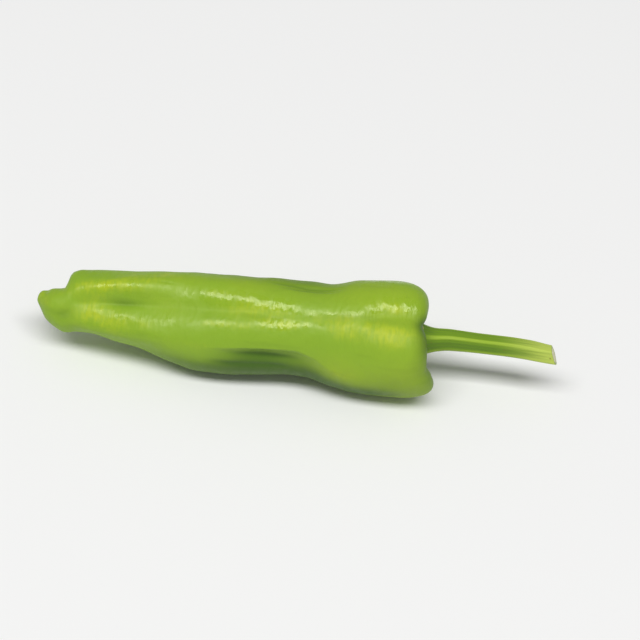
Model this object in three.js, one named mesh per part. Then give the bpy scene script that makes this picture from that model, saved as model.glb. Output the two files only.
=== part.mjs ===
// A village pepper, as picked: a long light-green pod with three uneven lobes, the toothed calyx in the
// hollow of its shoulder, and the ribbed stem, cut off slantwise. It lies on its side on three low spots.
// Millimetres, +Z up, +X from the tip towards the stem, origin under the middle of the whole pepper.
//
// Each piece is first drawn in the pod's own frame: x runs along the pod from its tip, y points to the
// upper edge of its front and z out of its front. Angles go round that axis in degrees: 0 is the front,
// 90 the upper edge, 180 the back and -90 the lower edge.
import * as THREE from "three";
import { mergeVertices } from "three/addons/utils/BufferGeometryUtils.js";

// How the pepper lies: its front leans up from the surface, and its tip is lower than its stem
const FRONT_LEAN = 42;
const STEM_RISE = 1.2;
const TIP_AT = { x: -99.53, y: 0.507, z: 17.7 };

// The pod's half-breadths along its length, as [from the tip, half-breadth]
const UP = [
  [0, 8], [8, 8.8], [14, 11.8], [20, 14], [26, 15], [44, 16.1], [65, 17.3], [104, 18.2],
  [110, 17.9], [122, 20.4], [136, 21.6],
];
const DOWN = [
  [0, 4.8], [4.3, 7.3], [8, 8.1], [14, 9.6], [21, 9.8], [31, 12], [42, 14.2], [53, 17.9], [64, 20.1],
  [72, 20.3], [83, 19.7], [97, 18.3], [104, 18.7], [113, 21], [124, 22.6], [132, 22.9], [150, 22.4],
];
const FRONT = [
  [0, 5], [5, 7.5], [10, 8.4], [15, 9.6], [25, 11.6], [45, 14.2], [65, 17], [85, 17.6], [100, 17.8],
  [120, 20.5], [135, 22],
];
const BACK = [
  [0, 5], [8, 8], [15, 10.5], [25, 12.6], [45, 15.8], [65, 18.6], [85, 18.4], [100, 18],
  [120, 20.6], [135, 22],
];
// The nose droops a little below the axis, and is rounded over its first stretch
const CENTRE = [[0, 1], [4, -0.8], [10, -1.5], [16, 0]];
const NOSE_LENGTH = 12;
// The step where the upper lobe ends over the nose, as [from the tip, height]. It fades as a bell across,
// this wide in degrees, and towards the back it slants by so much a degree.
const NOSE_STEP = [[2, 0], [8, -1.1], [10.2, -2], [12.4, 2.3], [14, 1.8], [20, 0.3], [26, 0]];
const NOSE_STEP_ANGLE = 90;
const NOSE_STEP_WIDTH = 30;
const NOSE_STEP_SLANT = 0.08;

// The furrows between the lobes, each by stations from the tip: the angle it runs at, its depth, and its
// width in degrees. One is a bell across where its power is 2, and the less that is, the sharper its bottom.
const FURROWS = [
  {
    angle: [
      [14, 8], [26, 12], [36, 14], [52, 15], [70, 14], [80, 16], [92, 15], [103, 11], [112, 14],
      [121, 14.5], [130, 22], [140, 26],
    ],
    depth: [
      [8, 0], [20, 2.6], [36, 3.6], [52, 3.4], [68, 3], [80, 2.6], [92, 1.6], [103, 0.6], [112, 1.3],
      [121, 1], [130, 3.4], [140, 4.2],
    ],
    width: [
      [12, 34], [30, 38], [52, 28], [68, 20], [80, 17], [92, 19], [103, 9], [112, 11], [121, 11],
      [130, 18], [140, 22],
    ],
    power: 1.5,
  },
  {
    angle: [[14, 140], [36, 134], [60, 124], [84, 120], [104, 112], [124, 116], [144, 120]],
    depth: [[12, 0], [26, 1.5], [44, 2.2], [66, 1.5], [90, 2.3], [112, 1.9], [128, 2.3], [142, 3.4]],
    width: [[20, 22], [60, 18], [100, 16], [142, 16]],
    power: 1.6,
  },
  {
    angle: [[20, -140], [100, -134], [140, -130]],
    depth: [[16, 0.4], [40, 0], [80, 0], [100, 0.9], [120, 2], [142, 3]],
    width: [[0, 15], [150, 15]],
    power: 2,
  },
];
// The raised edges of the upper and the lower lobe, beside the front furrow's first half: each a bell across
const RIDGES = [
  {
    angle: [[12, 40], [34, 46], [60, 52], [90, 46]],
    height: [[10, 0], [22, 1.3], [36, 1.6], [50, 1.3], [72, 0.4], [85, 0]],
    width: 17,
  },
  { angle: [[12, -46], [60, -34]], height: [[12, 0], [24, 1.6], [40, 1.6], [56, 0.7], [72, 0]], width: 18 },
];
// The fold in the belly: a soft lip that runs along, then turns down, with a hollow below it
const FOLD = {
  angle: [[66, -35], [78, -32], [92, -29], [99, -28], [105, -33], [111, -42], [118, -50]],
  depth: [[60, 0], [74, 1.1], [88, 2], [98, 1.9], [106, 1.2], [114, 0.5], [124, 0]],
  width: [[84, 11], [96, 13], [108, 17]],
  power: 1.5,
};
// Dents and short creases: [from the tip, angle, half-length, half-width, depth]
const DENTS = [
  [34, 16, 8, 2, 0.7],
  [11.5, -16, 3.2, 2.3, 0.8],
  [3.4, 75, 1.1, 3, 1.2],
  [103, 56, 9, 1.6, 0.5],
];

// The shoulder: how far from the tip its crest is and how far from the axis, as [angle, millimetres]. It is
// rounded over the stretch before the crest, and the lower its fullness number, the squarer it is.
const CREST_AT = [
  [-180, 145.6], [-160, 145.8], [-132, 144.6], [-108, 148.6], [-75, 152.6], [-56, 151.2], [-40, 148.9],
  [-15, 148.4], [4, 147.6], [22, 146], [40, 147.3], [65, 147.9], [92, 147.7], [115, 145.6], [140, 146],
  [180, 145.6],
];
const CREST_RADIUS = [
  [-180, 14], [-160, 14.2], [-132, 12.8], [-108, 15], [-75, 16.6], [-45, 15.4], [-10, 13.6], [22, 12.6],
  [50, 13.6], [90, 12.9], [115, 12.3], [150, 13.6], [180, 14],
];
const ROUNDING = 11;
const ROUNDING_FULLNESS = 0.75;
const HOLLOW_FLOOR = 139.8;
const HOLLOW_FLATNESS = 1.4;

// The calyx: a thin cap in the hollow, with small pointed teeth, and a raised seat for the stem
const CALYX_RADIUS = 9.2;
const TOOTH_LENGTHS = [2.9, 1.3, 1.4, 2.4, 2.8, 2.3];
const FIRST_TOOTH = -35;
const TOOTH_SHARPNESS = 1.5;
const CALYX_THICKNESS = 0.8;
const CALYX_RIB = 0.7;
const RIB_TAPER = 3;
const SEAT_AT = 146;
const SEAT_RADIUS = 6.4;
const SEAT_FOOT = 2.2;
const SKIN_GAP = 0.4;

// The stem: its middle line, as [from the tip, height], and its radius. Its ribs stand out by a share of
// the radius, its faces lie in by another, and its cut leans by so much a millimetre.
const STEM_LINE = [[146, -0.4], [150, 0], [158, 0.8], [170, 0.6], [180, 0.4], [187, 0], [199, -1.1]];
const STEM_RADIUS = [
  [146, 6.3], [148, 5.6], [150, 4.9], [153, 4.35], [158, 4.05], [170, 3.75], [188, 3.75], [198, 3.5],
];
const STEM_GAP = 0.3;
const STEM_RIBS = 5;
const RIB_ANGLE = 15;
const RIB_SHARE = 0.13;
const FACE_SHARE = 0.045;
const CUT_AT = 197.4;
const CUT_LEAN = { y: -0.32, z: -0.3 };

// How finely each piece is divided, round its axis and along each stretch of it, and how much closer the
// stem's steps lie at its flared base
const POD_AROUND = 72;
const POD_STEPS = { nose: 12, wall: 46, rounding: 8, hollow: 7 };
const CALYX_STEPS = { under: 7, edge: 1, top: 9 };
const STEM_AROUND = 40;
const STEM_STEPS = 22;
const FLARE_CROWDING = 1.4;

const QUARTER_TURN = Math.PI / 2;
const radians = THREE.MathUtils.degToRad;

// A smooth curve through [station, value] points that never swings past them: cubic pieces whose slope at
// a point is the harmonic mean of the slopes on its two sides, and nought at a peak, a dip or an end.
function smooth(points, at) {
  const last = points.length - 1;
  if (at <= points[0][0]) return points[0][1];
  if (at >= points[last][0]) return points[last][1];
  const slopeAfter = (i) => (points[i + 1][1] - points[i][1]) / (points[i + 1][0] - points[i][0]);
  const slopeAt = (i) => {
    if (i === 0 || i === last) return 0;
    const product = slopeAfter(i - 1) * slopeAfter(i);
    return product > 0 ? (2 * product) / (slopeAfter(i - 1) + slopeAfter(i)) : 0;
  };
  const i = points.findIndex(([station]) => station > at) - 1;
  const span = points[i + 1][0] - points[i][0];
  const t = (at - points[i][0]) / span;
  const rise = t * t * (3 - 2 * t);
  return (
    points[i][1] * (1 - rise) +
    points[i + 1][1] * rise +
    span * t * (1 - t) * ((1 - t) * slopeAt(i) - t * slopeAt(i + 1))
  );
}

// The angle from one direction to another, between -180 and 180 degrees
const turnFrom = (from, to) => ((to - from + 540) % 360) - 180;
const bell = (distance) => Math.exp(-distance * distance);

// Half-breadth of the pod in one direction: the four half-breadths blended by the squares of sine and
// cosine, less the furrows, the fold and the dents, and with the nose step and the ridges added.
function breadth(angle, along) {
  const sine = Math.sin(radians(angle));
  const cosine = Math.cos(radians(angle));
  const upright = smooth(sine > 0 ? UP : DOWN, along);
  const level = smooth(cosine > 0 ? FRONT : BACK, along);
  const turn = turnFrom(NOSE_STEP_ANGLE, angle);
  const step = smooth(NOSE_STEP, along - NOSE_STEP_SLANT * Math.max(0, turn)) * bell(turn / NOSE_STEP_WIDTH);
  const plain = upright * sine ** 2 + level * cosine ** 2 + step;
  let sunk = 0;
  for (const furrow of FURROWS) {
    const away = Math.abs(turnFrom(smooth(furrow.angle, along), angle)) / smooth(furrow.width, along);
    sunk += smooth(furrow.depth, along) * Math.exp(-(away ** furrow.power));
  }
  for (const ridge of RIDGES) {
    const away = turnFrom(smooth(ridge.angle, along), angle) / ridge.width;
    sunk -= smooth(ridge.height, along) * bell(away);
  }
  const below = Math.max(0, turnFrom(angle, smooth(FOLD.angle, along))) / smooth(FOLD.width, along);
  sunk += smooth(FOLD.depth, along) * (below * Math.exp(1 - below)) ** FOLD.power;
  for (const [at, dentAngle, halfLength, halfWidth, depth] of DENTS) {
    const across = radians(turnFrom(dentAngle, angle)) * plain;
    sunk += depth * bell((along - at) / halfLength) * bell(across / halfWidth);
  }
  return plain - sunk;
}

// How far from the tip the floor of the shoulder's hollow is: an S from its flat middle up to the crest
function hollowAt(angle, radius) {
  const share = (radius / smooth(CREST_RADIUS, angle)) ** HOLLOW_FLATNESS;
  return HOLLOW_FLOOR + (smooth(CREST_AT, angle) - HOLLOW_FLOOR) * share * share * (3 - 2 * share);
}

const pointAt = (angle, along, radius, centre = 0) =>
  new THREE.Vector3(along, centre + radius * Math.sin(radians(angle)), radius * Math.cos(radians(angle)));

// One stretch of the pod's skin after the other, each as a point at a share of its length
const podSkin = {
  nose(angle, share) {
    const along = NOSE_LENGTH * (1 - Math.cos(share * QUARTER_TURN));
    const radius = breadth(angle, along) * Math.sin(share * QUARTER_TURN);
    return pointAt(angle, along, radius, smooth(CENTRE, along));
  },
  wall(angle, share) {
    const wallEnd = smooth(CREST_AT, angle) - ROUNDING;
    const along = NOSE_LENGTH + (wallEnd - NOSE_LENGTH) * share;
    return pointAt(angle, along, breadth(angle, along), smooth(CENTRE, along));
  },
  rounding(angle, share) {
    const crest = smooth(CREST_RADIUS, angle);
    const along = smooth(CREST_AT, angle) - ROUNDING * (1 - Math.sin(share * QUARTER_TURN));
    const fallen = Math.max(0, Math.cos(share * QUARTER_TURN)) ** ROUNDING_FULLNESS;
    return pointAt(angle, along, crest + (breadth(angle, along) - crest) * fallen);
  },
  hollow(angle, share) {
    const radius = smooth(CREST_RADIUS, angle) * (1 - share);
    return pointAt(angle, hollowAt(angle, radius), radius);
  },
};

// How far the calyx reaches from the axis: a ring with a pointed tooth every sixth of a turn
function calyxReach(angle) {
  const turns = (turnFrom(FIRST_TOOTH, angle) + 360) / (360 / TOOTH_LENGTHS.length);
  const nearest = Math.round(turns);
  const point = (1 - Math.abs(Math.sin(Math.PI * (turns - nearest)))) ** TOOTH_SHARPNESS;
  return CALYX_RADIUS + TOOTH_LENGTHS[nearest % TOOTH_LENGTHS.length] * point;
}

// The calyx's upper face follows the hollow at its own thickness, with a rib down each tooth that dies out
// towards the tip, and rises inwards to the flat seat.
function calyxTop(angle, radius) {
  const rise = THREE.MathUtils.smoothstep(SEAT_RADIUS + SEAT_FOOT - radius, 0, SEAT_FOOT);
  const ridge = Math.max(0, Math.cos(radians(turnFrom(FIRST_TOOTH, angle)) * TOOTH_LENGTHS.length));
  const rib = CALYX_RIB * ridge * Math.min(1, (calyxReach(angle) - radius) / RIB_TAPER);
  const thin = hollowAt(angle, radius) + SKIN_GAP + CALYX_THICKNESS + rib;
  return SEAT_AT * rise + thin * (1 - rise);
}

const calyxSkin = {
  under(angle, share) {
    const radius = calyxReach(angle) * share;
    return pointAt(angle, hollowAt(angle, radius) + SKIN_GAP, radius);
  },
  edge(angle) {
    const radius = calyxReach(angle);
    return pointAt(angle, calyxTop(angle, radius), radius);
  },
  top(angle, share) {
    const radius = calyxReach(angle) * (1 - share);
    return pointAt(angle, calyxTop(angle, radius), radius);
  },
};

// The stem at a share of its length: a blunt pentagon with sharp ribs, round a middle line that bends
function stemPoint(angle, share, spread = 1) {
  const base = SEAT_AT + STEM_GAP;
  const sine = Math.sin(radians(angle));
  const cosine = Math.cos(radians(angle));
  const radiusHere = (along) => {
    const ridge = 1 - Math.abs(Math.sin(radians((angle - RIB_ANGLE) * STEM_RIBS * 0.5)));
    return spread * smooth(STEM_RADIUS, along) * (1 - FACE_SHARE + RIB_SHARE * ridge);
  };
  const cutRadius = radiusHere(CUT_AT);
  const end = CUT_AT + cutRadius * (CUT_LEAN.y * sine + CUT_LEAN.z * cosine);
  const along = base + (end - base) * share;
  return pointAt(angle, along, radiusHere(along), smooth(STEM_LINE, along));
}

// A closed body: a ball's grid of rows and columns, from pole to pole, is carried onto the given rows.
// Each row is a function that turns an angle into a point.
function bodyOf(rows, around, name, material) {
  const ball = new THREE.SphereGeometry(1, around, rows.length - 1);
  const place = ball.getAttribute("position");
  rows.forEach((pointOf, row) => {
    for (let column = 0; column <= around; column += 1) {
      const angle = (360 * (column % around)) / around - 180;
      place.setXYZ(row * (around + 1) + column, ...pointOf(angle));
    }
  });
  ball.deleteAttribute("uv");
  ball.deleteAttribute("normal");
  const geometry = mergeVertices(ball);
  geometry.computeVertexNormals();
  const mesh = new THREE.Mesh(geometry, material);
  mesh.name = name;
  return mesh;
}

// The rows of a skin made of several stretches, each cut into its own number of steps
function rowsOf(skin, stepsOf) {
  const rows = Object.entries(stepsOf).flatMap(([stretch, steps]) =>
    Array.from({ length: steps }, (_, step) => (angle) => skin[stretch](angle, (step + 1) / steps)),
  );
  const first = Object.keys(stepsOf)[0];
  return [(angle) => skin[first](angle, 0), ...rows];
}

function makePod() {
  const skin = new THREE.MeshStandardMaterial({ color: "#86ab2d", roughness: 0.32, metalness: 0 });
  return bodyOf(rowsOf(podSkin, POD_STEPS), POD_AROUND, "pod", skin);
}

function makeCalyx() {
  const leaf = new THREE.MeshStandardMaterial({ color: "#6f8a35", roughness: 0.62, metalness: 0 });
  return bodyOf(rowsOf(calyxSkin, CALYX_STEPS), POD_AROUND, "calyx", leaf);
}

function makeStem() {
  const bark = new THREE.MeshStandardMaterial({ color: "#8aa84a", roughness: 0.55, metalness: 0 });
  const sides = Array.from({ length: STEM_STEPS + 1 }, (_, step) => (angle) =>
    stemPoint(angle, (step / STEM_STEPS) ** FLARE_CROWDING),
  );
  const rows = [(angle) => stemPoint(angle, 0, 0), ...sides, (angle) => stemPoint(angle, 1, 0)];
  return bodyOf(rows, STEM_AROUND, "stem", bark);
}

// The skin gives a little where it bears on the surface: what would reach below it is pressed flat
function pressFlat(mesh) {
  const toPod = mesh.matrixWorld.clone().invert();
  const place = mesh.geometry.getAttribute("position");
  const point = new THREE.Vector3();
  for (let i = 0; i < place.count; i += 1) {
    point.fromBufferAttribute(place, i).applyMatrix4(mesh.matrixWorld);
    if (point.z < 0) place.setXYZ(i, ...point.setZ(0).applyMatrix4(toPod));
  }
}

const pod = makePod();
const turned = new THREE.Group();
turned.add(pod, makeCalyx(), makeStem());
turned.rotation.x = radians(90 - FRONT_LEAN);

const pepper = new THREE.Group();
pepper.add(turned);
pepper.rotation.y = -radians(STEM_RISE);
pepper.position.set(TIP_AT.x, TIP_AT.y, TIP_AT.z);
pepper.updateMatrixWorld(true);
pressFlat(pod);

export default pepper;
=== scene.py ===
import bpy
import numpy as np
from mathutils import Matrix, Vector


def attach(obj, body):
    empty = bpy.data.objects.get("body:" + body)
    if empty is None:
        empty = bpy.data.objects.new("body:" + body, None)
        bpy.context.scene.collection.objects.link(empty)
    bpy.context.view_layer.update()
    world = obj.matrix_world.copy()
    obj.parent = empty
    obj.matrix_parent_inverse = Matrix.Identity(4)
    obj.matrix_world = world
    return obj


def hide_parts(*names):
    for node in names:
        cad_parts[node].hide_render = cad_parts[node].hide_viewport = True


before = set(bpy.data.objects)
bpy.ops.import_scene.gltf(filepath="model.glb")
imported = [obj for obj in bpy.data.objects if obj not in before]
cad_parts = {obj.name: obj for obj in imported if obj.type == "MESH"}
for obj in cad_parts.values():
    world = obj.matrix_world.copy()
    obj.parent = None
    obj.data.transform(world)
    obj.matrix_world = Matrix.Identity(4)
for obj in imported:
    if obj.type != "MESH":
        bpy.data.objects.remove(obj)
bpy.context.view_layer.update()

# The pod: one grown fruit with three uneven lobes, long furrows between them, a drooping nose and a folded
# shoulder. Its skin is smooth, waxy and a little translucent, yellow-green on the ridges, where the yellow
# along the gloss is painted highlight, and a darker green in its folds and creases, which together with the
# darker underside, lower edges and shoulder is partly painted shade. It is one closed skin over a grid of
# angles and rows, from nose to hollow.

# Sizes are in millimetres and angles in degrees. Distances along the pod run from its tip to its stem, and
# angles round it are 0 at its front, 90 at its upper edge, 180 at its back and -90 at its lower edge.
MM = 0.001
FRONT_LEAN = 42
STEM_RISE = 1.2
TIP_AT = np.array([-99.53, 0.507, 17.7])
# Half-breadths in the four directions, and the height of the middle line, each as [distance, value].
UP = [
    [0, 8], [8, 8.8], [14, 11.8], [20, 14], [26, 15], [44, 16.1], [65, 17.3], [104, 18.2],
    [110, 17.9], [122, 20.4], [136, 21.6],
]
DOWN = [
    [0, 4.8], [4.3, 7.3], [8, 8.1], [14, 9.6], [21, 9.8], [31, 12], [42, 14.2], [53, 17.9], [64, 20.1],
    [72, 20.3], [83, 19.7], [97, 18.3], [104, 18.7], [113, 21], [124, 22.6], [132, 22.9], [150, 22.4],
]
FRONT = [
    [0, 5], [5, 7.5], [10, 8.4], [15, 9.6], [25, 11.6], [45, 14.2], [65, 17], [85, 17.6], [100, 17.8],
    [120, 20.5], [135, 22],
]
BACK = [
    [0, 5], [8, 8], [15, 10.5], [25, 12.6], [45, 15.8], [65, 18.6], [85, 18.4], [100, 18],
    [120, 20.6], [135, 22],
]
CENTRE = [[0, 1], [4, -0.8], [10, -1.5], [16, 0]]
NOSE_LENGTH = 12
# The upper lobe's end over the nose: what it adds to the breadth along its line, and how it fades round.
NOSE_STEP = [[2, 0], [8, -1.1], [10.2, -2], [12.4, 2.3], [14, 1.8], [20, 0.3], [26, 0]]
NOSE_STEP_ANGLE = 90
NOSE_STEP_WIDTH = 30
NOSE_STEP_SLANT = 0.08
# Furrows between the lobes: the angle, the depth and the width in degrees of each along the pod.
FRONT_FURROW = {
    "angle": [
        [14, 8], [26, 12], [36, 14], [52, 15], [70, 14], [80, 16], [92, 15], [103, 11], [112, 14],
        [121, 14.5], [130, 22], [140, 26],
    ],
    "depth": [
        [8, 0], [20, 2.6], [36, 3.6], [52, 3.4], [68, 3], [80, 2.6], [92, 1.6], [103, 0.6], [112, 1.3],
        [121, 1], [130, 3.4], [140, 4.2],
    ],
    "width": [
        [12, 34], [30, 38], [52, 28], [68, 20], [80, 17], [92, 19], [103, 9], [112, 11], [121, 11],
        [130, 18], [140, 22],
    ],
    "power": 1.5,
}
UPPER_FURROW = {
    "angle": [[14, 140], [36, 134], [60, 124], [84, 120], [104, 112], [124, 116], [144, 120]],
    "depth": [[12, 0], [26, 1.5], [44, 2.2], [66, 1.5], [90, 2.3], [112, 1.9], [128, 2.3], [142, 3.4]],
    "width": [[20, 22], [60, 18], [100, 16], [142, 16]],
    "power": 1.6,
}
UNDER_FURROW = {
    "angle": [[20, -140], [100, -134], [140, -130]],
    "depth": [[16, 0.4], [40, 0], [80, 0], [100, 0.9], [120, 2], [142, 3]],
    "width": [[0, 15], [150, 15]],
    "power": 2,
}
FURROWS = [FRONT_FURROW, UPPER_FURROW, UNDER_FURROW]
VALLEY_ROUNDING = 0.12
# Fine creases of the skin: three in the belly fold, two by the upper edge and one on the upper ridge.
CREASES = [
    {
        "angle": [[74, -35], [92, -33], [98, -33], [102, -35], [106, -39], [112, -47]],
        "depth": [[74, 0], [88, 0.2], [98, 0.15], [112, 0]],
        "width": [[0, 1.8], [150, 1.8]],
        "power": 2,
    },
    {
        "angle": [[70, -42], [84, -43], [92, -43], [98, -44], [103, -48], [109, -56]],
        "depth": [[70, 0], [82, 0.35], [92, 0.4], [104, 0]],
        "width": [[0, 3.6], [150, 3.6]],
        "power": 2,
    },
    {
        "angle": [[64, -54], [78, -57], [92, -58], [102, -62]],
        "depth": [[64, 0], [78, 0.35], [92, 0.3], [102, 0]],
        "width": [[0, 3], [150, 3]],
        "power": 2,
    },
    {
        "angle": [[84, 64], [95, 60], [106, 57], [118, 58]],
        "depth": [[84, 0], [95, 0.22], [108, 0.25], [118, 0]],
        "width": [[0, 2.4], [150, 2.4]],
        "power": 2,
    },
    {
        "angle": [[90, 55], [100, 52], [110, 51.5], [116, 53]],
        "depth": [[90, 0], [98, 0.2], [108, 0.22], [116, 0]],
        "width": [[0, 1.9], [150, 1.9]],
        "power": 2,
    },
    {
        "angle": [[42, 52], [48, 50], [56, 46]],
        "depth": [[42, 0], [48, 0.2], [56, 0]],
        "width": [[0, 1.6], [150, 1.6]],
        "power": 2,
    },
]
# The two ridges beside the front furrow, and the fold under the belly, whose angle is that of its lip.
RIDGES = [
    {
        "angle": [[12, 40], [34, 46], [60, 52], [90, 46]],
        "height": [[10, 0], [22, 1.3], [36, 1.6], [50, 1.3], [72, 0.4], [85, 0]],
        "width": 17,
    },
    {
        "angle": [[12, -46], [60, -34]],
        "height": [[12, 0], [24, 1.6], [40, 1.6], [56, 0.7], [72, 0]],
        "width": 18,
    },
]
FOLD = {
    "angle": [[66, -35], [78, -32], [92, -29], [99, -28], [105, -33], [111, -42], [118, -50]],
    "depth": [[60, 0], [74, 1.1], [88, 2], [98, 1.9], [106, 1.2], [114, 0.5], [124, 0]],
    "width": [[84, 11], [96, 13], [108, 17]],
    "power": 1.5,
}
# Dents, and further down patches of colour and gloss: each spot is its distance from the tip, its angle,
# its half-length, its half-width and its strength.
DENTS = [
    [34, 16, 8, 2, 0.7],
    [11.5, -16, 3.2, 2.3, 0.8],
    [3.4, 75, 1.1, 3, 1.2],
    [103, 56, 9, 1.6, 0.5],
]
# The shoulder: how far its crest stands from the tip and from the axis, each as [angle, value], how it
# turns over, and the hollow inside it.
CREST_AT = [
    [-180, 145.6], [-160, 145.8], [-132, 144.6], [-108, 148.6], [-75, 152.6], [-56, 151.2], [-40, 148.9],
    [-15, 148.4], [4, 147.6], [22, 146], [40, 147.3], [65, 147.9], [92, 147.7], [115, 145.6], [140, 146],
    [180, 145.6],
]
CREST_RADIUS = [
    [-180, 14], [-160, 14.2], [-132, 12.8], [-108, 15], [-75, 16.6], [-45, 15.4], [-10, 13.6], [22, 12.6],
    [50, 13.6], [90, 12.9], [115, 12.3], [150, 13.6], [180, 14],
]
ROUNDING = 11
ROUNDING_FULLNESS = 0.75
HOLLOW_FLOOR = 139.8
HOLLOW_FLATNESS = 1.4
# Where the skin is yellower, partly painted highlight along the gloss; where it is a deeper green, mostly
# painted shade; where its wax is thick; and where fine ticks across the pod break up the gloss.
# Yellower spots: some are the skin's own yellow-green, and those along the gloss streaks are painted
# highlight.
YELLOWER_AND_PAINTED_HIGHLIGHT = [
    [4, 40, 7, 8, 0.55],
    [24, 8, 14, 12, 0.15],
    [23, -12, 8, 6, 0.6],
    [39, -18, 9, 3, 0.4],
    [30, -42, 12, 5, 0.2],
    [22, 42, 8, 2.6, 0.8],
    [36, 46, 8, 2.4, 0.6],
    [45, 66, 14, 5, 0.6],
    [62, -35, 16, 5, 0.35],
    [68, 33, 7, 3, 0.4],
    [72, -5, 12, 1.6, 0.6],
    [84, 14, 14, 5, 0.6],
    [95, 2, 7, 2.4, 0.5],
    [119, 5, 10, 5, 0.9],
    [136, 2, 9, 6, 0.9],
    [134, 33, 6, 3, 0.6],
    [117, -48, 7, 3, 0.6],
]
# Deeper green spots, most of them painted shade: along the underside and the lower edges, under the upper
# rim, in the two dents and at the shoulder's edge.
DEEP_GREEN_AND_PAINTED_SHADE = [
    [34, 17, 8, 2.4, 0.4],
    [11.5, -18, 4.5, 3.2, 0.35],
    [100, 76, 24, 9, 0.5],
    [70, 84, 16, 5, 0.3],
    [147, 20, 4, 5, 0.5],
    [147, -6, 3.5, 9, 0.3],
    [59, 12, 12, 5, 0.1],
    [106, 32, 8, 6, 0.1],
    [85, -62, 16, 7, 0.65],
    [104, -70, 10, 5, 0.35],
    [62, -64, 16, 4, 0.35],
    [60, -84, 18, 6, 0.3],
    [122, -76, 15, 6, 0.7],
    [90, -98, 38, 9, 0.75],
    [138, -50, 13, 8, 0.25],
    [136, -72, 12, 5, 0.3],
]
WAXY = [
    [22, 41, 8, 5, 0.45],
    [35, 45, 6, 4, 0.45],
    [47, 42, 6, 3, 0.2],
    [59, 35, 6, 3, 0.45],
    [70, 30, 6, 3.5, 1.0],
    [79, 33, 5, 3, 0.9],
    [85, 30, 5, 2.4, 0.8],
    [93, 25, 6, 3.2, 1.2],
    [108, 17, 9, 2.5, 1.0],
    [121, 17, 5, 3, 0.6],
    [127, 27, 4, 3, 0.7],
    [132, 38, 5, 3.5, 0.7],
    [140, 40, 5, 4, 0.8],
    [22, -10, 5, 5, 0.25],
    [34, -17, 9, 5, 0.38],
    [52, -9, 8, 3, 0.35],
    [71, -4, 8, 3, 0.55],
    [92, 2, 7, 2.4, 1.1],
    [103, 7, 5, 2.5, 0.8],
    [40, 108, 18, 5, 0.5],
    [88, 100, 20, 4, 0.6],
    [132, 88, 9, 7, 0.8],
    [60, 158, 22, 5, 0.6],
    [122, 150, 12, 6, 0.9],
    [36, -150, 16, 4, 0.5],
    [96, -108, 20, 5, 0.4],
    [130, -112, 10, 6, 0.7],
]
HATCHED = [
    [76, 28, 10, 6, 0.8],
    [91, 26, 7, 5, 1.2],
    [28, 42, 12, 5, 1.5],
    [92, 1, 9, 3, 0.8],
    [36, -16, 14, 5, 0.9],
    [130, 8, 14, 9, 1],
    [138, 38, 8, 6, 1.2],
    [88, 100, 20, 5, 0.6],
    [60, 158, 22, 6, 0.7],
    [122, 150, 12, 6, 0.8],
]
# The same yellow, painted under the thick-wax spots where the gloss falls, as painted highlight.
PAINTED_HIGHLIGHT_IN_WAX = 0.2
# How much painted shade the fold, the creases and the shoulder's turn into the hollow add to the deeper
# green, and how fast the shoulder's shade grows.
PAINTED_SHADE_IN_FOLD = 0.16
PAINTED_SHADE_IN_CREASES = 0.7
DEEP_GREEN_AND_SHADE_IN_SHOULDER = 0.5
SHOULDER_SHADE_POWER = 1.5
WAXY_ALL_OVER = 0.3
WAXLESS_WIDTH = 4
HATCHED_ALL_OVER = 0.12
# Chance swells and ripples of the skin, which fade out towards the nose and the crest.
SWELLS = {"seed": 5, "waves": 14, "most_turns": 6, "lengths": (14, 60), "size": 0.2}
RIPPLES = {"seed": 8, "waves": 40, "most_turns": 22, "lengths": (5, 14), "size": 0.035}
SWELLS_FROM = 2
SWELLS_OVER = 142
SWELLS_POWER = 0.5
POD_AROUND = 432
POD_ROWS = {"nose": 26, "wall": 148, "rounding": 26, "hollow": 18}
# The skin's finish. A colour is in screen values. A pattern is a noise: how fine it is, how it is squeezed
# along each axis, and its finer layers. A share runs from a low to a high value, onto the last two. A bump
# is its strength and its height in metres.
SKIN_COLOURS = {"plain": (137, 173, 44), "yellow_and_highlight": (178, 195, 38), "deep_green_and_shade": (50, 88, 26)}
SKIN_PATTERNS = {
    "clouds": (28, (0.6, 1, 1), 2),
    "streaks": (190, (0.09, 1, 1), 3),
    "blotches": (160, (0.7, 1, 1), 3),
    "ticks": (800, (1, 0.3, 0.3), 2),
    "strokes": (430, (1, 0.4, 0.4), 3),
    "pores": (900, (1, 0.6, 0.6), 1),
    "waves": (190, (1, 0.7, 0.7), 2),
}
SKIN_SHARES = {
    "clouds": (0.38, 0.66, 0, 0.24),
    "blotches": (0.3, 0.6, 0.5, 1),
    "ticks": (0.35, 0.62, 0.65, 1),
    "patch": (0.1, 1, 0, 0.9),
    "streaks": (0.52, 0.75, 0, 0.12),
    "deep_green_and_shade": (0, 1, 0, 0.9),
    "strokes": (0.32, 0.6, 0.5, 1),
    "roughness": (0, 1, 0.56, 0.16),
}
SKIN_BUMPS = {
    "waves": (0.5, 0.001), "strokes": (0.4, 0.0006), "pores": (0.2, 0.0002), "ticks": (0.5, 0.0006),
}
SKIN_SHADER = {
    "Specular IOR Level": 0.4,
    "Specular Tint": (1, 1, 0.7, 1),
    "Subsurface Weight": 0.05,
    "Subsurface Radius": (0.6, 1.0, 0.2),
    "Subsurface Scale": 0.003,
}


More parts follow.
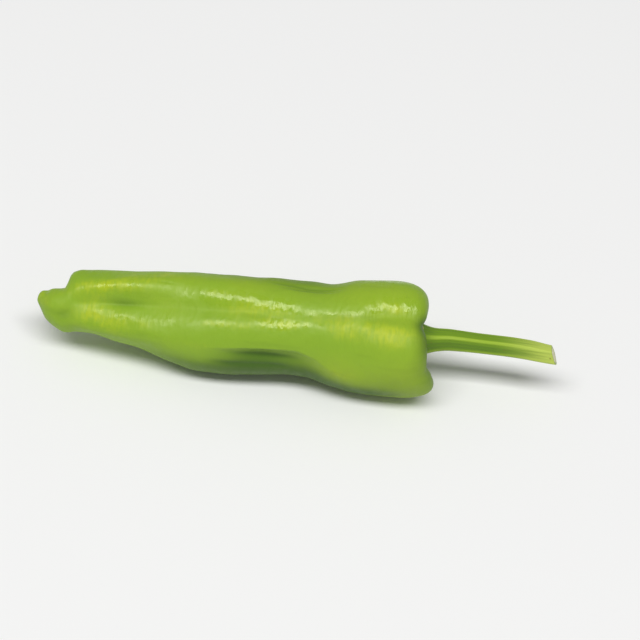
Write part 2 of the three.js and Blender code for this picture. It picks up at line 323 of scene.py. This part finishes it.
def smooth(points, at):
    """Curve through [station, value] points: cubics whose slope at a point is the harmonic mean of the
    slopes on its two sides, and nought at a peak, a dip or an end."""
    station, value = np.array(points, float).T
    at = np.clip(at, station[0], station[-1])
    slope_after = np.diff(value) / np.diff(station)
    product = slope_after[:-1] * slope_after[1:]
    total = np.where(product > 0, slope_after[:-1] + slope_after[1:], 1)
    slope = np.zeros(len(station))
    slope[1:-1] = np.where(product > 0, 2 * product / total, 0)
    i = np.clip(np.searchsorted(station, at, side="right") - 1, 0, len(station) - 2)
    span = station[i + 1] - station[i]
    t = (at - station[i]) / span
    rise = t * t * (3 - 2 * t)
    bend = span * t * (1 - t) * ((1 - t) * slope[i] - t * slope[i + 1])
    return value[i] * (1 - rise) + value[i + 1] * rise + bend


def turn_from(start, end):
    """Angle from one direction to another, between -180 and 180 degrees."""
    return (end - start + 540) % 360 - 180


def bell(distance):
    """Bell curve: e to the minus distance squared."""
    return np.exp(-distance * distance)


def furrow_sink(furrows, angle, along):
    """Depth of the furrows: each e to the minus distance from its line, in widths, raised to its power,
    where the distance is rounded off a little at the very bottom."""
    sunk = np.zeros(np.broadcast(angle, along).shape)
    for furrow in furrows:
        away = turn_from(smooth(furrow["angle"], along), angle) / smooth(furrow["width"], along)
        away = np.hypot(away, VALLEY_ROUNDING)
        sunk += smooth(furrow["depth"], along) * np.exp(-(away ** furrow["power"]))
    return sunk


def fold_sink(angle, along):
    """Depth of the belly fold: nought above its lip, then distance times e to one minus the distance, in
    widths, raised to its power."""
    below = np.maximum(0, turn_from(angle, smooth(FOLD["angle"], along))) / smooth(FOLD["width"], along)
    return smooth(FOLD["depth"], along) * (below * np.exp(1 - below)) ** FOLD["power"]


def plain_breadth(angle, along):
    """Four half-breadths, blended by the squares of the angle's sine and cosine, plus the upper lobe's
    step down to the nose, which fades as a bell and slants round the back."""
    sine, cosine = np.sin(np.radians(angle)), np.cos(np.radians(angle))
    upright = np.where(sine > 0, smooth(UP, along), smooth(DOWN, along))
    level = np.where(cosine > 0, smooth(FRONT, along), smooth(BACK, along))
    turn = turn_from(NOSE_STEP_ANGLE, angle)
    step = smooth(NOSE_STEP, along - NOSE_STEP_SLANT * np.maximum(0, turn)) * bell(turn / NOSE_STEP_WIDTH)
    return upright * sine**2 + level * cosine**2 + step


def spots(places, angle, along):
    """Sum of spots, each a bell along the pod times a bell across it, as high as its last number."""
    total = np.zeros(np.broadcast(angle, along).shape)
    for at, spot_angle, half_length, half_width, height in places:
        across = np.radians(turn_from(spot_angle, angle)) * plain_breadth(angle, along)
        total += height * bell((along - at) / half_length) * bell(across / half_width)
    return total


def breadth(angle, along):
    """Half-breadth of the pod: the plain one, less furrows, creases, fold and dents, plus the ridges."""
    sunk = furrow_sink(FURROWS + CREASES, angle, along) + fold_sink(angle, along)
    for ridge in RIDGES:
        away = turn_from(smooth(ridge["angle"], along), angle) / ridge["width"]
        sunk -= smooth(ridge["height"], along) * bell(away)
    return plain_breadth(angle, along) - sunk - spots(DENTS, angle, along)


def hollow_at(angle, radius):
    """Floor of the shoulder's hollow: an S (three times the square less twice the cube) from its flat
    middle up to the crest, of the share of the crest's radius raised to a power."""
    share = (radius / smooth(CREST_RADIUS, angle)) ** HOLLOW_FLATNESS
    return HOLLOW_FLOOR + (smooth(CREST_AT, angle) - HOLLOW_FLOOR) * share * share * (3 - 2 * share)


def pod_skin(around, rows):
    """Angle, distance from the tip, radius and middle height of each point of the skin. The nose is
    rounded by a sine, the wall is plain, the shoulder turns over by a power of a cosine, and the hollow
    runs in."""
    angle = np.linspace(-180, 180, around, endpoint=False)[None, :]
    crest_at, crest_radius = smooth(CREST_AT, angle), smooth(CREST_RADIUS, angle)
    quarter = np.pi / 2
    share = (np.arange(rows["nose"] + 1) / rows["nose"])[:, None]
    nose_along = NOSE_LENGTH * (1 - np.cos(share * quarter)) + 0 * angle
    nose_radius = breadth(angle, nose_along) * np.sin(share * quarter)
    share = (np.arange(1, rows["wall"] + 1) / rows["wall"])[:, None]
    wall_along = NOSE_LENGTH + (crest_at - ROUNDING - NOSE_LENGTH) * share
    wall_radius = breadth(angle, wall_along)
    share = (np.arange(1, rows["rounding"] + 1) / rows["rounding"])[:, None]
    round_along = crest_at - ROUNDING * (1 - np.sin(share * quarter))
    fallen = np.maximum(0, np.cos(share * quarter)) ** ROUNDING_FULLNESS
    round_radius = crest_radius + (breadth(angle, round_along) - crest_radius) * fallen
    share = (np.arange(1, rows["hollow"] + 1) / rows["hollow"])[:, None]
    hollow_radius = crest_radius * (1 - share)
    hollow_along = hollow_at(angle, hollow_radius)
    along = np.concatenate([nose_along, wall_along, round_along, hollow_along])
    radius = np.concatenate([nose_radius, wall_radius, round_radius, hollow_radius])
    return angle + 0 * along, along, radius, smooth(CENTRE, along)


def to_part(along, height, out):
    """Pod's own frame turned to the part's: leaned back about its length, then raised at the stem."""
    lean, rise = np.radians(90 - FRONT_LEAN), np.radians(STEM_RISE)
    y = height * np.cos(lean) - out * np.sin(lean)
    z = height * np.sin(lean) + out * np.cos(lean)
    turned = [along * np.cos(rise) - z * np.sin(rise), y, along * np.sin(rise) + z * np.cos(rise)]
    return np.stack(turned, axis=-1)


def points_of(angle, along, radius, centre):
    """Points at an angle and a radius round a middle line, turned, moved to the tip's place, and made
    metres."""
    height = centre + radius * np.sin(np.radians(angle))
    out = radius * np.cos(np.radians(angle))
    return (to_part(along, height, out) + TIP_AT) * MM


def closed_mesh(name, points, fields):
    """A grid of rows and columns made one closed skin: the first and last rows are poles, the rows
    between are rings, and each field is kept as a number at every point."""
    rows, around = points.shape[:2]
    vertices = np.concatenate([points[:1, 0], points[1:-1].reshape(-1, 3), points[-1:, 0]])
    ring = 1 + np.arange((rows - 2) * around).reshape(rows - 2, around)
    after = np.roll(ring, -1, axis=1)
    last = len(vertices) - 1
    quads = np.stack([ring[:-1], ring[1:], after[1:], after[:-1]], axis=-1).reshape(-1, 4)
    first_fan = np.stack([np.zeros(around, int), ring[0], after[0]], axis=-1)
    last_fan = np.stack([np.full(around, last), after[-1], ring[-1]], axis=-1)
    mesh = bpy.data.meshes.new(name)
    mesh.from_pydata(vertices.tolist(), [], first_fan.tolist() + quads.tolist() + last_fan.tolist())
    mesh.shade_smooth()
    for field, values in fields.items():
        values = np.concatenate([values[:1, 0], values[1:-1].ravel(), values[-1:, 0]])
        mesh.attributes.new(field, "FLOAT", "POINT").data.foreach_set("value", values.astype(np.float32))
    piece = bpy.data.objects.new(name, mesh)
    bpy.context.scene.collection.objects.link(piece)
    return piece


def unevenness(angle, along, seed, waves, most_turns, lengths, size):
    """Chance swells: a sum of sines along the pod times cosines round it, with seeded lengths, turns and
    phases, divided by the root of their number."""
    draw = np.random.default_rng(seed)
    swell = np.zeros(np.broadcast(angle, along).shape)
    for _ in range(waves):
        turns = draw.integers(0, most_turns + 1)
        length = draw.uniform(*lengths)
        phase = draw.uniform(0, 2 * np.pi, 2)
        swell += np.sin(2 * np.pi * along / length + phase[0]) * np.cos(turns * np.radians(angle) + phase[1])
    return size * swell / np.sqrt(waves)


angle, along, radius, centre = pod_skin(POD_AROUND, POD_ROWS)
on_wall = np.sin(np.pi * np.clip((along - SWELLS_FROM) / SWELLS_OVER, 0, 1)) ** SWELLS_POWER
swells = unevenness(angle, along, **SWELLS)
ripples = unevenness(angle, along, **RIPPLES)
radius = radius + on_wall * (swells + ripples)
points = points_of(angle, along, radius, centre)
points[..., 2] = np.maximum(points[..., 2], 0)
row = np.arange(len(along))[:, None]
turned = np.clip((row - POD_ROWS["nose"] - POD_ROWS["wall"]) / POD_ROWS["rounding"], 0, 1)
# Painted shade on a deeper green: the dark spots, the fold, the creases and the shoulder's turn into the
# hollow.
deep_green_and_shade = spots(DEEP_GREEN_AND_PAINTED_SHADE, angle, along) + PAINTED_SHADE_IN_FOLD * fold_sink(angle, along)
deep_green_and_shade += PAINTED_SHADE_IN_CREASES * furrow_sink(CREASES, angle, along) + DEEP_GREEN_AND_SHADE_IN_SHOULDER * turned**SHOULDER_SHADE_POWER
away = turn_from(smooth(FRONT_FURROW["angle"], along), angle)
waxy = (WAXY_ALL_OVER + spots(WAXY, angle, along)) * (1 - bell(away / WAXLESS_WIDTH))
hatched = HATCHED_ALL_OVER + spots(HATCHED, angle, along)
# Yellow patches, partly painted highlight: the yellow spots plus a share under the thick wax where the gloss
# falls.
yellow_and_highlight = spots(YELLOWER_AND_PAINTED_HIGHLIGHT, angle, along) + PAINTED_HIGHLIGHT_IN_WAX * spots(WAXY, angle, along)
fields = {"yellow_and_highlight": yellow_and_highlight, "deep_green_and_shade": deep_green_and_shade, "waxy": waxy, "hatched": hatched}
pod = closed_mesh("pod_skin", points, fields)


class Finish:
    """A material in the making, with short forms for adding its nodes and joining them."""

    FIRST_COLOUR, SECOND_COLOUR, MIXED_COLOUR = 6, 7, 2

    def __init__(self, name):
        self.material = bpy.data.materials.new(name)
        self.material.use_nodes = True
        self.tree = self.material.node_tree
        self.surface = self.tree.nodes["Principled BSDF"]

    def add(self, kind, **settings):
        node = self.tree.nodes.new(kind)
        for key, value in settings.items():
            setattr(node, key, value)
        return node

    def join(self, source, target):
        self.tree.links.new(source, target)

    def set_all_over(self, sockets):
        """Gives sockets of the shader a value that is the same all over the piece."""
        for socket, value in sockets.items():
            self.surface.inputs[socket].default_value = value

    def field(self, name):
        """A number kept at every point of the piece's own mesh."""
        return self.add("ShaderNodeAttribute", attribute_name=name).outputs["Fac"]

    def noise(self, scale, squeeze, detail):
        """Noise on Object coordinates, each of which is first multiplied by its squeeze."""
        place = self.add("ShaderNodeTexCoord").outputs["Object"]
        mapping = self.add("ShaderNodeMapping")
        mapping.inputs["Scale"].default_value = squeeze
        self.join(place, mapping.inputs["Vector"])
        texture = self.add("ShaderNodeTexNoise")
        texture.inputs["Scale"].default_value = scale
        texture.inputs["Detail"].default_value = detail
        self.join(mapping.outputs["Vector"], texture.inputs["Vector"])
        return texture.outputs["Fac"]

    def between(self, value, low, high, to_low, to_high):
        """The value from low to high carried along an S onto another range, and held at its ends."""
        node = self.add("ShaderNodeMapRange", interpolation_type="SMOOTHSTEP")
        for socket, number in zip(("From Min", "From Max", "To Min", "To Max"), (low, high, to_low, to_high)):
            node.inputs[socket].default_value = number
        self.join(value, node.inputs["Value"])
        return node.outputs["Result"]

    def mixed(self, share, first, second):
        """One colour turning into another; each is a colour or another node's output."""
        node = self.add("ShaderNodeMix", data_type="RGBA")
        self.join(share, node.inputs["Factor"])
        for index, colour in ((self.FIRST_COLOUR, first), (self.SECOND_COLOUR, second)):
            if isinstance(colour, tuple):
                node.inputs[index].default_value = (*colour, 1)
            else:
                self.join(colour, node.inputs[index])
        return node.outputs[self.MIXED_COLOUR]

    def times(self, first, second):
        """One value multiplied by another."""
        node = self.add("ShaderNodeMath", operation="MULTIPLY")
        self.join(first, node.inputs[0])
        self.join(second, node.inputs[1])
        return node.outputs["Value"]

    def bump(self, height, strength, distance, under=None):
        """A bump as high as its value times the distance, laid over the one under it."""
        node = self.add("ShaderNodeBump")
        node.inputs["Strength"].default_value = strength
        node.inputs["Distance"].default_value = distance
        self.join(height, node.inputs["Height"])
        if under is not None:
            self.join(under, node.inputs["Normal"])
        return node.outputs["Normal"]


def linear(colours):
    """Screen colours in the linear light that the shader reads: a value over 255, plus 0.055, over 1.055,
    to the power 2.4, or over 12.92 alone where it is 0.04045 or less."""
    lit = {}
    for name, colour in colours.items():
        screen = np.array(colour) / 255
        bright, dim = ((screen + 0.055) / 1.055) ** 2.4, screen / 12.92
        lit[name] = tuple(np.where(screen > 0.04045, bright, dim).tolist())
    return lit


def pod_finish():
    """Waxy skin: green turning yellower in patches, which along the gloss are painted highlight, and darker
    in folds, creases, the shoulder's turn and along the underside and lower edges, which is partly painted
    shade, with faint streaks along it. The wax is thicker on some ridges, and a fine bump across it breaks
    the gloss into ragged strokes."""
    skin = Finish("pod_skin")
    lit, shares = linear(SKIN_COLOURS), SKIN_SHARES
    clouds = skin.noise(*SKIN_PATTERNS["clouds"])
    streaks = skin.noise(*SKIN_PATTERNS["streaks"])
    blotches = skin.noise(*SKIN_PATTERNS["blotches"])
    colour = skin.mixed(skin.between(clouds, *shares["clouds"]), lit["plain"], lit["yellow_and_highlight"])
    ticks = skin.noise(*SKIN_PATTERNS["ticks"])
    patch = skin.times(skin.field("yellow_and_highlight"), skin.between(blotches, *shares["blotches"]))
    patch = skin.times(patch, skin.between(ticks, *shares["ticks"]))
    # Yellow patches, partly painted highlight along the gloss.
    colour = skin.mixed(skin.between(patch, *shares["patch"]), colour, lit["yellow_and_highlight"])
    colour = skin.mixed(skin.between(streaks, *shares["streaks"]), colour, lit["deep_green_and_shade"])
    # Painted shade on a deeper green: the underside, lower edges, upper rim, dents, fold, creases and
    # shoulder are darkened.
    colour = skin.mixed(skin.between(skin.field("deep_green_and_shade"), *shares["deep_green_and_shade"]), colour, lit["deep_green_and_shade"])
    skin.join(colour, skin.surface.inputs["Base Color"])
    strokes = skin.noise(*SKIN_PATTERNS["strokes"])
    pores = skin.noise(*SKIN_PATTERNS["pores"])
    waves = skin.noise(*SKIN_PATTERNS["waves"])
    normal = skin.bump(waves, *SKIN_BUMPS["waves"])
    normal = skin.bump(strokes, *SKIN_BUMPS["strokes"], normal)
    normal = skin.bump(pores, *SKIN_BUMPS["pores"], normal)
    normal = skin.bump(skin.times(skin.field("hatched"), ticks), *SKIN_BUMPS["ticks"], normal)
    skin.join(normal, skin.surface.inputs["Normal"])
    wax = skin.times(skin.field("waxy"), skin.between(strokes, *shares["strokes"]))
    skin.join(skin.between(wax, *shares["roughness"]), skin.surface.inputs["Roughness"])
    skin.set_all_over(SKIN_SHADER)
    return skin.material


pod.data.materials.append(pod_finish())
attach(pod, "root")
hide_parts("pod")

# The calyx: the leafy cap that the flower left, thin, dull olive and toothed, with a rib down each tooth and
# a dry, slightly thickened rim. It lies in the shoulder's hollow and rises to the seat of the stem.
CALYX_RADIUS = 9.2
TOOTH_LENGTHS = np.array([2.9, 1.3, 1.4, 2.4, 2.8, 2.3])
FIRST_TOOTH = -35
TOOTH_SHARPNESS = 1.5
CALYX_THICKNESS = 0.8
CALYX_RIB = 0.7
RIB_TAPER = 3
SEAT_AT = 146
SEAT_RADIUS = 6.4
SEAT_FOOT = 2.2
SKIN_GAP = 0.4
RIM_RISE = 0.25
RIM_WIDTH = 0.4
EDGE_BULGE = 0.3
# The ragged outline: sines round the cap, each as its height, its number of waves and its phase.
CALYX_RAGS = [[0.16, 17, 0], [0.1, 31, 40]]
VEIN_HEIGHT = 0.12
VEINS_ROUND = 22
VEIN_WAVER = 30
VEINS_FROM = 5
CALYX_WRINKLES = {"seed": 11, "waves": 24, "most_turns": 20, "lengths": (2, 6), "size": 0.12}
CALYX_AROUND = 360
CALYX_ROWS = {"under": 14, "edge": 5, "top": 44}
LEAF_COLOURS = {
    "olive": (96, 132, 44), "pale": (146, 176, 68), "straw": (168, 176, 98), "brown": (128, 108, 62),
}
LEAF_PATTERNS = {"mottle": (900, (1, 1, 1), 4), "blotches": (420, (1, 1, 1), 3)}
LEAF_SHARES = {
    "mottle": (0.35, 0.65, 0, 0.45),
    "rib": (0.3, 1, 0, 0.6),
    "foot": (0.2, 1, 0, 0.6),
    "rim": (0.3, 0.9, 0, 0.8),
    "blotches": (0.6, 0.7, 0, 0.7),
}
LEAF_BUMP = (0.5, 0.0004)
LEAF_SHADER = {"Roughness": 0.55, "Specular Tint": (1, 1, 0.7, 1)}


def calyx_reach(angle):
    """Distance from axis to rim: a ring, plus a tooth where one minus the sine's size comes to a point,
    plus the rags."""
    turns = (turn_from(FIRST_TOOTH, angle) + 360) / (360 / len(TOOTH_LENGTHS))
    nearest = np.round(turns).astype(int)
    point = (1 - np.abs(np.sin(np.pi * (turns - nearest)))) ** TOOTH_SHARPNESS
    ragged = sum(size * np.sin(np.radians(angle * waves + phase)) for size, waves, phase in CALYX_RAGS)
    return CALYX_RADIUS + TOOTH_LENGTHS[nearest % len(TOOTH_LENGTHS)] * point + ragged


def calyx_ribs(angle):
    """Ribs of the cap, one down the middle of each tooth: the positive half of a cosine."""
    return np.maximum(0, np.cos(np.radians(turn_from(FIRST_TOOTH, angle) * len(TOOTH_LENGTHS))))


def calyx_top(angle, radius):
    """Upper face: the hollow's floor plus its own thickness, ribs, veins (cosines round the cap, which
    waver with the radius), wrinkles and thickened rim, rising inwards along an S to the flat seat."""
    foot = np.clip((SEAT_RADIUS + SEAT_FOOT - radius) / SEAT_FOOT, 0, 1)
    rise = foot * foot * (3 - 2 * foot)
    veins = VEIN_HEIGHT * np.cos(np.radians(angle * VEINS_ROUND + VEIN_WAVER * np.sin(radius)))
    veins = veins * np.clip(radius - VEINS_FROM, 0, 1)
    wrinkles = unevenness(angle, radius, **CALYX_WRINKLES)
    inwards = calyx_reach(angle) - radius
    rim = RIM_RISE * bell((inwards - RIM_WIDTH) / RIM_WIDTH)
    ribs = CALYX_RIB * calyx_ribs(angle) * np.minimum(1, inwards / RIB_TAPER)
    thin = hollow_at(angle, radius) + SKIN_GAP + CALYX_THICKNESS + ribs + veins + wrinkles + rim
    return SEAT_AT * rise + thin * (1 - rise)


def calyx_skin(around, rows):
    """Rows of the cap: out under it, round its edge by half a turn, and back over it to the middle."""
    angle = np.linspace(-180, 180, around, endpoint=False)[None, :]
    reach = calyx_reach(angle)
    share = (np.arange(rows["under"] + 1) / rows["under"])[:, None]
    under_radius = reach * share
    under_along = hollow_at(angle, under_radius) + SKIN_GAP
    turn = np.pi * (np.arange(1, rows["edge"]) / rows["edge"])[:, None]
    low, high = hollow_at(angle, reach) + SKIN_GAP, calyx_top(angle, reach)
    edge_radius = reach + EDGE_BULGE * np.sin(turn)
    edge_along = (low + high) / 2 - (high - low) / 2 * np.cos(turn)
    share = (np.arange(rows["top"] + 1) / rows["top"])[:, None]
    top_radius = reach * (1 - share)
    top_along = calyx_top(angle, top_radius)
    along = np.concatenate([under_along, edge_along, top_along])
    radius = np.concatenate([under_radius, edge_radius, top_radius])
    return angle + 0 * along, along, radius, reach


angle, along, radius, reach = calyx_skin(CALYX_AROUND, CALYX_ROWS)
rim = bell((reach - radius) / (2 * RIM_WIDTH))
foot = np.clip((SEAT_RADIUS + 2 * SEAT_FOOT - radius) / (2 * SEAT_FOOT), 0, 1)
calyx = closed_mesh(
    "calyx_cap", points_of(angle, along, radius, 0 * along),
    {"rim": rim, "rib": calyx_ribs(angle) + 0 * radius, "foot": foot},
)


def calyx_finish():
    """Dull leaf: olive green, paler on its ribs and towards the stem, with a dry straw-coloured rim and a
    few brown blotches."""
    leaf = Finish("calyx_leaf")
    lit, shares = linear(LEAF_COLOURS), LEAF_SHARES
    mottle = leaf.noise(*LEAF_PATTERNS["mottle"])
    blotches = leaf.noise(*LEAF_PATTERNS["blotches"])
    colour = leaf.mixed(leaf.between(mottle, *shares["mottle"]), lit["olive"], lit["pale"])
    colour = leaf.mixed(leaf.between(leaf.field("rib"), *shares["rib"]), colour, lit["pale"])
    colour = leaf.mixed(leaf.between(leaf.field("foot"), *shares["foot"]), colour, lit["pale"])
    colour = leaf.mixed(leaf.between(leaf.field("rim"), *shares["rim"]), colour, lit["straw"])
    colour = leaf.mixed(leaf.between(blotches, *shares["blotches"]), colour, lit["brown"])
    leaf.join(colour, leaf.surface.inputs["Base Color"])
    leaf.join(leaf.bump(mottle, *LEAF_BUMP), leaf.surface.inputs["Normal"])
    leaf.set_all_over(LEAF_SHADER)
    return leaf.material


calyx.data.materials.append(calyx_finish())
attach(calyx, "root")
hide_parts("calyx")

# The stem: a tough stalk with five ribs, flared where it grows out of the calyx and cut off slantwise. Its
# ribs are pale, its faces darker and finely lined, and its cut shows a pale pith inside a green ring.

# The middle line's height and the stem's radius, each as [distance from the pod's tip, value].
STEM_LINE = [[146, -0.4], [150, 0], [158, 0.8], [170, 0.6], [180, 0.4], [187, 0], [199, -1.1]]
STEM_RADIUS = [
    [146, 6.3], [148, 5.6], [150, 4.9], [153, 4.35], [158, 4.05], [170, 3.75], [188, 3.75], [198, 3.5],
]
STEM_SINK = 0.3
STEM_RIBS = 5
RIB_ANGLE = 15
RIB_SHARE = 0.13
FACE_SHARE = 0.045
LINE_SHARE = 0.012
LINES_ROUND = 20
LINE_WAVER = 25
LINE_WAVER_EVERY = 9
CUT_AT = 197.4
CUT_LEAN = {"up": -0.32, "out": -0.3}
STEM_LENGTH = 52
RIDGE_POWER = 1.6
# Painted shade on the stem's lower front face: its middle angle, its width and how it fades towards the cut.
STEM_PAINTED_SHADE_ANGLE = -26
STEM_PAINTED_SHADE_WIDTH = 24
STEM_PAINTED_SHADE_POWER = 3
STEM_AROUND = 240
STEM_ROWS = {"side": 200, "cut": 16}
BARK_COLOURS = {
    "face": (112, 148, 34), "rib": (158, 188, 50), "end": (196, 212, 98),
    "dark_lines_and_shade": (84, 120, 34), "fleck": (120, 100, 46), "base": (92, 132, 36),
    "pith": (220, 220, 178), "ring": (140, 162, 78), "dry": (168, 150, 100),
}
BARK_PATTERNS = {
    "lines": (900, (0.05, 1, 1), 3), "specks": (700, (0.5, 1, 1), 2), "grain": (1400, (1, 1, 1), 3),
}
BARK_SHARES = {
    "ridge": (0.1, 1, 0, 0.75),
    "end": (0.5, 1, 0, 0.8),
    "base": (0, 0.14, 0.6, 0),
    "lines": (0.5, 0.72, 0, 0.35),
    "painted shade face": (0.1, 0.9, 0, 0.7),
    "specks": (0.7, 0.78, 0, 0.7),
    "grain": (0.4, 0.7, 0, 0.5),
    "ring": (0.7, 0.82, 0, 1),
    "dry": (0.92, 1, 0, 0.7),
}
BARK_BUMP = (0.4, 0.0004)
BARK_SHADER = {"Roughness": 0.45, "Specular IOR Level": 0.4, "Specular Tint": (1, 1, 0.6, 1)}


def stem_radius(angle, along):
    """Radius of a blunt pentagon: its corners are sharp ribs, where one minus the sine's size comes to a
    point, and fine lines between them are a sine round the stem that wavers along it."""
    ridge = 1 - np.abs(np.sin(np.radians((angle - RIB_ANGLE) * STEM_RIBS * 0.5)))
    waver = LINE_WAVER * np.sin(along / LINE_WAVER_EVERY)
    lines = LINE_SHARE * np.sin(np.radians(angle * LINES_ROUND + waver))
    return smooth(STEM_RADIUS, along) * (1 - FACE_SHARE + RIB_SHARE * ridge + lines)


def stem_skin(around, rows):
    """Rows of the stem: a pole under its base, its side up to the slanting cut, and the cut face inwards."""
    angle = np.linspace(-180, 180, around, endpoint=False)[None, :]
    sine, cosine = np.sin(np.radians(angle)), np.cos(np.radians(angle))
    lean = CUT_LEAN["up"] * sine + CUT_LEAN["out"] * cosine
    cut_radius = stem_radius(angle, CUT_AT + 0 * angle)
    base = SEAT_AT - STEM_SINK
    share = (np.arange(rows["side"] + 1) / rows["side"])[:, None]
    side_along = base + (CUT_AT + cut_radius * lean - base) * share
    side_radius = stem_radius(angle, side_along)
    share = (np.arange(1, rows["cut"] + 1) / rows["cut"])[:, None]
    cut_rows = side_radius[-1:] * (1 - share)
    cut_along = CUT_AT + cut_rows * lean
    along = np.concatenate([np.full((1, around), base), side_along, cut_along])
    radius = np.concatenate([np.zeros((1, around)), side_radius, cut_rows])
    across = np.concatenate([np.ones((rows["side"] + 2, around)), (1 - share) + 0 * angle])
    return angle + 0 * along, along, radius, across


angle, along, radius, across = stem_skin(STEM_AROUND, STEM_ROWS)
ridge = np.maximum(0, np.cos(np.radians((angle - RIB_ANGLE) * STEM_RIBS))) ** RIDGE_POWER
up_stem = (along - SEAT_AT) / STEM_LENGTH
# Painted shade: the lower front face is darkened, less and less towards the cut.
below = bell(turn_from(STEM_PAINTED_SHADE_ANGLE, angle) / STEM_PAINTED_SHADE_WIDTH) * (1 - up_stem**STEM_PAINTED_SHADE_POWER)
on_cut = np.zeros_like(along)
on_cut[-STEM_ROWS["cut"]:] = 1
stem = closed_mesh(
    "stem_stalk", points_of(angle, along, radius, smooth(STEM_LINE, along)),
    {"ridge": ridge, "below": below, "on_cut": on_cut, "across": across, "along": up_stem},
)


def stem_finish():
    """Satin stalk: mid green, lighter and yellower on the ribs and towards the cut, with painted shade on its
    lower front face that fades towards the cut, lined along its length, with a few brown specks. The cut is
    pale, with a darker ring under the skin."""
    bark = Finish("stem_bark")
    lit, shares = linear(BARK_COLOURS), BARK_SHARES
    lines = bark.noise(*BARK_PATTERNS["lines"])
    specks = bark.noise(*BARK_PATTERNS["specks"])
    colour = bark.mixed(bark.between(bark.field("ridge"), *shares["ridge"]), lit["face"], lit["rib"])
    colour = bark.mixed(bark.between(bark.field("along"), *shares["end"]), colour, lit["end"])
    colour = bark.mixed(bark.between(bark.field("along"), *shares["base"]), colour, lit["base"])
    colour = bark.mixed(bark.between(lines, *shares["lines"]), colour, lit["dark_lines_and_shade"])
    # Painted shade on the lower front face.
    colour = bark.mixed(bark.between(bark.field("below"), *shares["painted shade face"]), colour, lit["dark_lines_and_shade"])
    colour = bark.mixed(bark.between(specks, *shares["specks"]), colour, lit["fleck"])
    grain = bark.noise(*BARK_PATTERNS["grain"])
    cut = bark.mixed(bark.between(grain, *shares["grain"]), lit["pith"], lit["dry"])
    cut = bark.mixed(bark.between(bark.field("across"), *shares["ring"]), cut, lit["ring"])
    cut = bark.mixed(bark.between(bark.field("across"), *shares["dry"]), cut, lit["dry"])
    colour = bark.mixed(bark.field("on_cut"), colour, cut)
    bark.join(colour, bark.surface.inputs["Base Color"])
    bark.join(bark.bump(lines, *BARK_BUMP), bark.surface.inputs["Normal"])
    bark.set_all_over(BARK_SHADER)
    return bark.material


stem.data.materials.append(stem_finish())
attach(stem, "root")
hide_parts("stem")

# The surface and the light: a plain pale floor, an even white surround, and one long soft box above the
# front of the pepper, which lays the gloss along its ridges. Sizes here are in metres, power in watts.
FLOOR_HALF = 12.0
PAPER_SHADER = {"Base Color": (0.9, 0.9, 0.895, 1), "Roughness": 0.9}
SURROUND = {"Color": (1, 1, 1, 1), "Strength": 0.28}
BOX_SIZE = (6.5, 1.5)
BOX_DISTANCE = 5.0
BOX_TURN = 27
BOX_POWER = 240

floor_mesh = bpy.data.meshes.new("floor")
corners = [
    (-FLOOR_HALF, -FLOOR_HALF, 0), (FLOOR_HALF, -FLOOR_HALF, 0),
    (FLOOR_HALF, FLOOR_HALF, 0), (-FLOOR_HALF, FLOOR_HALF, 0),
]
floor_mesh.from_pydata(corners, [], [(0, 1, 2, 3)])
floor = bpy.data.objects.new("floor", floor_mesh)
bpy.context.scene.collection.objects.link(floor)
paper = Finish("floor_paper")
paper.set_all_over(PAPER_SHADER)
floor.data.materials.append(paper.material)

world = bpy.data.worlds.new("surround")
bpy.context.scene.world = world
world.use_nodes = True
for socket, value in SURROUND.items():
    world.node_tree.nodes["Background"].inputs[socket].default_value = value


def direction(turn):
    """Direction square to the pod's length, turned from its front towards its upper edge."""
    return Vector(to_part(0.0, np.sin(np.radians(turn)), np.cos(np.radians(turn))))


def soft_box(name, turn, distance, size, power):
    """A rectangle of light that faces the pepper from a turn above its front, long along the pod."""
    light = bpy.data.lights.new(name, "AREA")
    light.shape = "RECTANGLE"
    light.size, light.size_y = size
    light.energy = power
    back = direction(turn)
    right = Vector(to_part(1.0, 0.0, 0.0))
    up = back.cross(right)
    holder = bpy.data.objects.new(name, light)
    facing = Matrix((right, up, back)).transposed().to_4x4()
    holder.matrix_world = Matrix.Translation(back * distance) @ facing
    bpy.context.scene.collection.objects.link(holder)


soft_box("long_box", BOX_TURN, BOX_DISTANCE, BOX_SIZE, BOX_POWER)

# The camera: square to the pod's front, from a little under seventy centimetres, turned so that the pod
# slopes down to the right as it does in the picture. It looks at a point in the pod's own frame.
LENS = 100
SENSOR = 36
PICTURE_WIDTH = 243.2
SLOPE = 5.633
LOOKS_AT = (107.6, 3.7, 0.0)

camera_data = bpy.data.cameras.new("camera")
camera_data.lens = LENS
camera_data.sensor_width = SENSOR
camera = bpy.data.objects.new("camera", camera_data)
bpy.context.scene.collection.objects.link(camera)
slope = np.radians(SLOPE)
right = Vector(to_part(np.cos(slope), np.sin(slope), 0.0))
back = direction(0)
up = back.cross(right)
target = Vector(((to_part(*LOOKS_AT) + TIP_AT) * MM).tolist())
stand = target + back * (LENS / SENSOR * PICTURE_WIDTH * MM)
camera.matrix_world = Matrix.Translation(stand) @ Matrix((right, up, back)).transposed().to_4x4()
bpy.context.scene.camera = camera
bpy.context.scene.view_settings.view_transform = "Standard"
